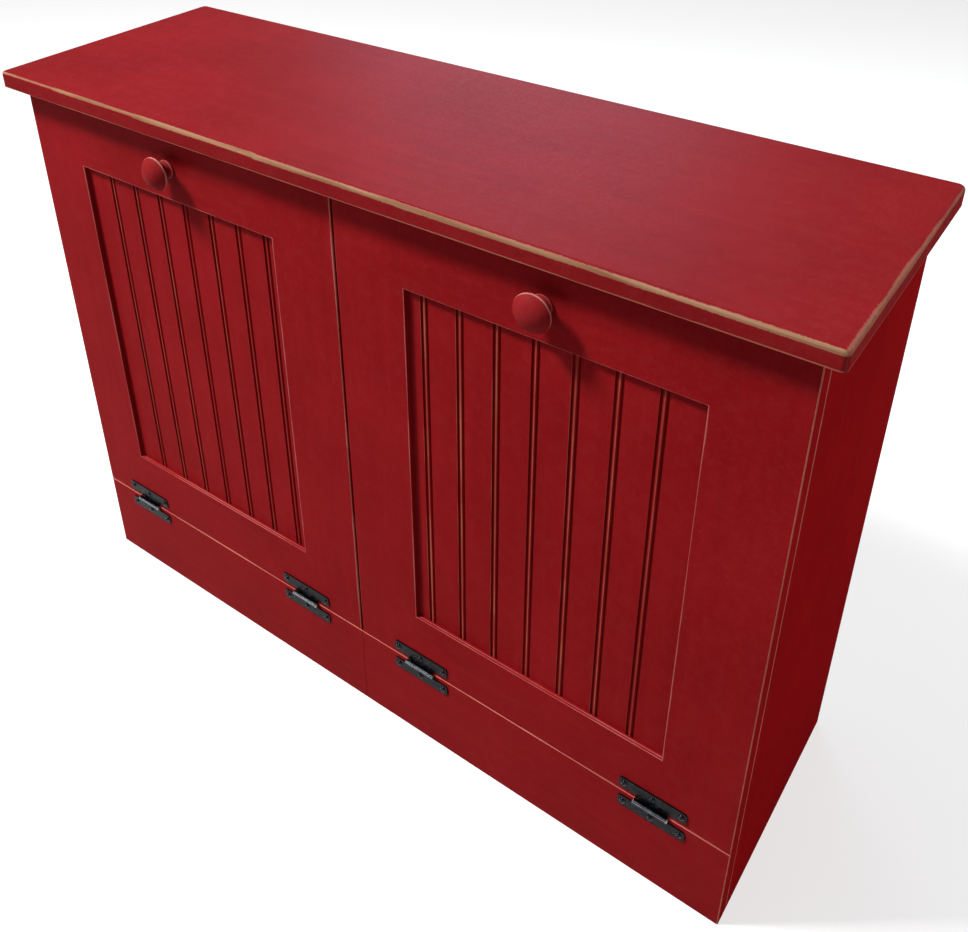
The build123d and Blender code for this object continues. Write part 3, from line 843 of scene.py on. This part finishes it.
def make_pins(side):
    """The two hinge pins of a door, with a domed head at each end."""
    half = barrel_length / 2
    dome = [radians(angle) for angle in (86, 66, 46, 26, 8)]
    end = [(pin_radius, half), (pin_head_radius, half)]
    end += [(pin_head_radius * sin(a), half + pin_head_height * cos(a)) for a in dome]
    outline = [(radius, -height) for radius, height in reversed(end)] + end
    shape = bmesh.new()
    for place in hinge_places:
        low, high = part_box(f"{side}_{place}_hinge_door_leaf")
        middle = Vector(((low.x + high.x) / 2, hinge_line_y, hinge_line_z))
        one = bmesh.new()
        skin(one, [turned_ring(one, radius, height, pin_sides) for radius, height in outline])
        mesh = shape_mesh("pin", one)
        mesh.transform(Matrix.Translation(middle) @ Matrix.Rotation(pi / 2, 4, "Y"))
        shape.from_mesh(mesh)
    return shape


for side, sign in sides.items():
    for group, up, body in (("door", 1, f"{side}_door"), ("base", -1, "cabinet")):
        places = []
        for place in hinge_places:
            places += strip_places(f"{side}_{place}_hinge_{group}_leaf", up)
        name = f"{side}_{group}_hinge_screws_round"
        screws = set_screws(name, hinge_screw, places, (0, -1, 0), screw_black, body)
        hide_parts(f"{side}_hinge_{group}_screws")
    name = f"{side}_hinge_pins_domed"
    pins = add_piece(name, make_pins(side), dark_steel, "cabinet")
    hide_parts(f"{side}_hinge_pins")


# Screws that hold the back, the cradles, the catches and the strikes
panel_screw = flat_screw("panel_screw", 3.6 * mm, 0.25 * mm, 1.6 * mm, 16 * mm)
cradle_screw = flat_screw("cradle_screw", 3.8 * mm, 0.25 * mm, 1.9 * mm, 30 * mm)
plate_screw = flat_screw("plate_screw", 2.6 * mm, 0.15 * mm, 1.3 * mm, 10 * mm)
catch_screw = domed_screw("catch_screw", 2.9 * mm, 1.5 * mm, 1.4 * mm, 14 * mm)
back_screw_inset = 14.5 * mm
back_screw_end = 40 * mm
back_screw_rows = 5
shelf_screw_shares = (0.14, 0.5, 0.82)
rail_screw_shares = (0.3, 0.8)
strike_screw_offset = 12.5 * mm
catch_screw_offset = 15 * mm
catch_screw_setback = 2 * mm


def back_screw_places():
    """Rows of screws into the sides and the divider."""
    low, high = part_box("back_panel")
    columns = (-half_width + back_screw_inset, 0.0, half_width - back_screw_inset)
    first, last = low.z + back_screw_end, high.z - back_screw_end
    step = (last - first) / (back_screw_rows - 1)
    rows = [first + row * step for row in range(back_screw_rows)]
    return [Vector((x, high.y, z)) for x in columns for z in rows]


def cradle_screw_places(side, cheek, sign):
    """Screws through a cheek into the ends of the shelf and the back rail."""
    low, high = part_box(f"{side}_cradle_{cheek}_cheek")
    shelf_low, shelf_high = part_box(f"{side}_cradle_shelf")
    rail_low, rail_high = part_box(f"{side}_cradle_back_rail")
    face_x = high.x if sign > 0 else low.x
    shelf_z = (shelf_low.z + shelf_high.z) / 2
    rail_y = (rail_low.y + rail_high.y) / 2
    shelf_y = [shelf_low.y + share * (shelf_high.y - shelf_low.y) for share in shelf_screw_shares]
    rail_z = [rail_low.z + share * (rail_high.z - rail_low.z) for share in rail_screw_shares]
    places = [Vector((face_x, y, shelf_z)) for y in shelf_y]
    return places + [Vector((face_x, rail_y, z)) for z in rail_z]


def strike_screw_places(side):
    low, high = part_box(f"{side}_strike")
    middle = (low + high) / 2
    return [Vector((middle.x, high.y, middle.z + step * strike_screw_offset)) for step in (-1, 1)]


def catch_screw_places(side, sign):
    low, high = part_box(f"{side}_catch")
    middle = (low + high) / 2
    x, y = low.x if sign > 0 else high.x, middle.y + catch_screw_setback
    return [Vector((x, y, middle.z + step * catch_screw_offset)) for step in (-1, 1)]


def set_zinc_screws(name, screw, places, outward, body):
    set_screws(name, screw, places, outward, zinc, body)


set_zinc_screws("back_screws", panel_screw, back_screw_places(), (0, 1, 0), "cabinet")
for side, sign in sides.items():
    body = f"{side}_door"
    for cheek, way in (("outer", sign), ("inner", -sign)):
        places = cradle_screw_places(side, cheek, way)
        set_zinc_screws(f"{side}_{cheek}_cheek_screws", cradle_screw, places, (way, 0, 0), body)
    set_zinc_screws(f"{side}_strike_screws", plate_screw, strike_screw_places(side), (0, 1, 0), body)
    places = catch_screw_places(side, sign)
    set_zinc_screws(f"{side}_catch_screws", catch_screw, places, (-sign, 0, 0), "cabinet")


# Waste bins: tapered shells with round corners, two ridges under the rim and a rolled lip
bin_slope = tan(radians(3.0))
bin_lip = 7.0 * mm
bin_rim = 9.0 * mm
bin_wall = 2.2 * mm
bin_floor = 3.0 * mm
bin_foot_corner = 31.0 * mm
bin_ridge_drops = (70 * mm, 44 * mm)
bin_ridge_width = 4.6 * mm
bin_ridge_depth = 1.1 * mm
bin_crease = 50
corner_steps = 10


def rounded_ring(shape, centre, half_x, half_y, radius, height):
    """A ring of points round a rectangle with round corners."""
    points = []
    for corner, (side_x, side_y) in enumerate(((1, 1), (-1, 1), (-1, -1), (1, -1))):
        for step in range(corner_steps + 1):
            angle = (corner + step / corner_steps) * pi / 2
            x = centre.x + side_x * (half_x - radius) + radius * cos(angle)
            y = centre.y + side_y * (half_y - radius) + radius * sin(angle)
            points.append(shape.verts.new((x, y, height)))
    return points


def bin_wall_outline(height):
    """The foot and the outside up to the rim, as (outset from the tapering wall, height)."""
    rim_low = height - bin_rim
    outline = [
        (-7 * mm, 0.8 * mm),
        (-5 * mm, 0.0),
        (-1.8 * mm, 0.0),
        (-0.5 * mm, 0.6 * mm),
        (0.0, 2.2 * mm),
    ]
    for drop in bin_ridge_drops:
        low = height - drop
        outline += [
            (0.0, low),
            (bin_ridge_depth, low + 1.2 * mm),
            (bin_ridge_depth, low + bin_ridge_width - 1.2 * mm),
            (0.0, low + bin_ridge_width),
        ]
    return outline + [
        (0.0, rim_low - 3 * mm),
        (0.7 * mm, rim_low + 0.8 * mm),
        (2.2 * mm, rim_low + 1.6 * mm),
    ]


def bin_rim_outline(height):
    """The rolled lip, from under its edge over to the inside."""
    rim_low = height - bin_rim
    return [
        (bin_lip - 1.6 * mm, rim_low + 1.6 * mm),
        (bin_lip - 1.4 * mm, rim_low),
        (bin_lip - 0.2 * mm, rim_low),
        (bin_lip, rim_low + 0.5 * mm),
        (bin_lip, height - 2.6 * mm),
        (bin_lip - 0.8 * mm, height - 0.7 * mm),
        (bin_lip - 2.6 * mm, height),
        (0.0, height),
        (-1.5 * mm, height - 0.6 * mm),
        (-bin_wall, height - 2.2 * mm),
    ]


def bin_outline(height):
    """The whole section, from the foot over the rim and down inside."""
    inside = [
        (-bin_wall, bin_floor + 7 * mm),
        (-bin_wall - 2 * mm, bin_floor + 2 * mm),
        (-9 * mm, bin_floor),
    ]
    return bin_wall_outline(height) + bin_rim_outline(height) + inside


def make_bin(side):
    """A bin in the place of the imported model's plainer one."""
    low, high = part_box(f"{side}_bin")
    centre, half, height = (low + high) / 2, (high - low) / 2, high.z - low.z
    shape = bmesh.new()
    rings = []
    for outset, level in bin_outline(height):
        under_rim = (height - level) * bin_slope
        half_x, half_y = (size - bin_lip - under_rim + outset for size in (half.x, half.y))
        radius = bin_foot_corner + level * bin_slope + outset
        rings.append(rounded_ring(shape, centre, half_x, half_y, radius, low.z + level))
    skin(shape, rings)
    return shape


for side in sides:
    name, body = f"{side}_bin_moulded", f"{side}_door"
    waste_bin = add_piece(name, make_bin(side), bin_grey, body, bin_crease)
    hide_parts(f"{side}_bin")


# Floor and light
floor_size = 12.0
floor_drop = 0.2 * mm
floor_plain = (0.32, 0.32, 0.32, 1)
floor_shadow = (0.55, 0.55, 0.55, 1)
floor_glow = 0.55
world_level = 0.15


def make_floor():
    """A pale floor that is white to the eye and keeps the cabinet's soft shadow."""
    graph = Graph("floor")
    graph.tree.nodes.remove(graph.shader)
    rays = graph.add("ShaderNodeLightPath").outputs
    through = graph.math("MAXIMUM", rays["Is Glossy Ray"], rays["Is Transmission Ray"])
    seen = graph.math("MAXIMUM", rays["Is Camera Ray"], through)
    plain = graph.add("ShaderNodeBsdfDiffuse", {"Color": floor_plain}).outputs[0]
    shadow = graph.add("ShaderNodeBsdfDiffuse", {"Color": floor_shadow}).outputs[0]
    glow = graph.add("ShaderNodeEmission", {"Color": white, "Strength": floor_glow}).outputs[0]
    shown = graph.add("ShaderNodeAddShader", {0: shadow, 1: glow}).outputs[0]
    mixed = graph.add("ShaderNodeMixShader", {0: seen, 1: plain, 2: shown}).outputs[0]
    graph.feed(graph.output.inputs["Surface"], mixed)
    shape = bmesh.new()
    bmesh.ops.create_grid(shape, x_segments=1, y_segments=1, size=floor_size / 2)
    mesh = bpy.data.meshes.new("floor")
    shape.to_mesh(mesh)
    mesh.materials.append(graph.material)
    floor = bpy.data.objects.new("floor", mesh)
    floor.location.z = -floor_drop
    bpy.context.scene.collection.objects.link(floor)


def light_world(level):
    """An even light of this level from all round, white where it is seen."""
    world = bpy.data.worlds.new("world")
    bpy.context.scene.world = world
    world.use_nodes = True
    nodes, links = world.node_tree.nodes, world.node_tree.links
    rays = nodes.new("ShaderNodeLightPath").outputs
    seen = nodes.new("ShaderNodeMath")
    seen.operation = "MAXIMUM"
    links.new(rays["Is Camera Ray"], seen.inputs[0])
    links.new(rays["Is Transmission Ray"], seen.inputs[1])
    strength = nodes.new("ShaderNodeMapRange")
    strength.inputs["To Min"].default_value = level
    strength.inputs["To Max"].default_value = 1.0
    links.new(seen.outputs[0], strength.inputs["Value"])
    sky = nodes["Background"]
    sky.inputs["Color"].default_value = white
    links.new(strength.outputs[0], sky.inputs["Strength"])


def add_lamp(name, place, aim, size, level, colour=(1, 1, 1)):
    """A square soft lamp. The level is the light that it gives on a white card at its aim."""
    lamp = bpy.data.lights.new(name, "AREA")
    lamp.shape = "SQUARE"
    lamp.size = size
    lamp.color = colour
    way = Vector(aim) - Vector(place)
    lamp.energy = level * pi**2 * way.length**2
    holder = bpy.data.objects.new(name, lamp)
    holder.location = place
    holder.rotation_euler = way.to_track_quat("-Z", "Y").to_euler()
    bpy.context.scene.collection.objects.link(holder)


make_floor()
light_world(world_level)
add_lamp("key_lamp", (-1.875, -1.5625, 3.5875), aim=(0, 0, 0.4), size=0.65, level=1.45)
add_lamp("low_lamp", (-1.4, -2.0, 0.45), aim=(-0.2, front_y, 0.15), size=1.2, level=0.14)
add_lamp("fill_lamp", (2.4, 1.7, 2.0), aim=(0, 0, 0.4), size=1.8, level=0.44)
add_lamp("side_lamp", (3.0, -0.9, 0.9), aim=(0.3, 0, 0.4), size=1.6, level=0.13)
add_lamp(
    "back_lamp", (-0.95, 1.75, 1.65), aim=(0, 0.05, top_high.z), size=1.1, level=0.25,
    colour=(0.64, 0.77, 1.0),
)


# Camera, at the photograph's viewing angle. The shift follows the photograph's off-centre framing.
eye = (0.6334, -0.7964, 1.1644)
gaze = Vector((-0.52373, 0.69884, -0.48716))
roll = radians(-0.942)
focal_length = 39.663
sensor_width = 36.0
shift_x, shift_y = 0.0386, -0.2283

camera_data = bpy.data.cameras.new("camera")
camera_data.lens = focal_length
camera_data.sensor_width = sensor_width
camera_data.shift_x = shift_x
camera_data.shift_y = shift_y
camera = bpy.data.objects.new("camera", camera_data)
turn = gaze.to_track_quat("-Z", "Y").to_matrix().to_4x4()
camera.matrix_world = Matrix.Translation(eye) @ turn @ Matrix.Rotation(roll, 4, "Z")
bpy.context.scene.collection.objects.link(camera)
bpy.context.scene.camera = camera
bpy.context.scene.view_settings.view_transform = "Standard"
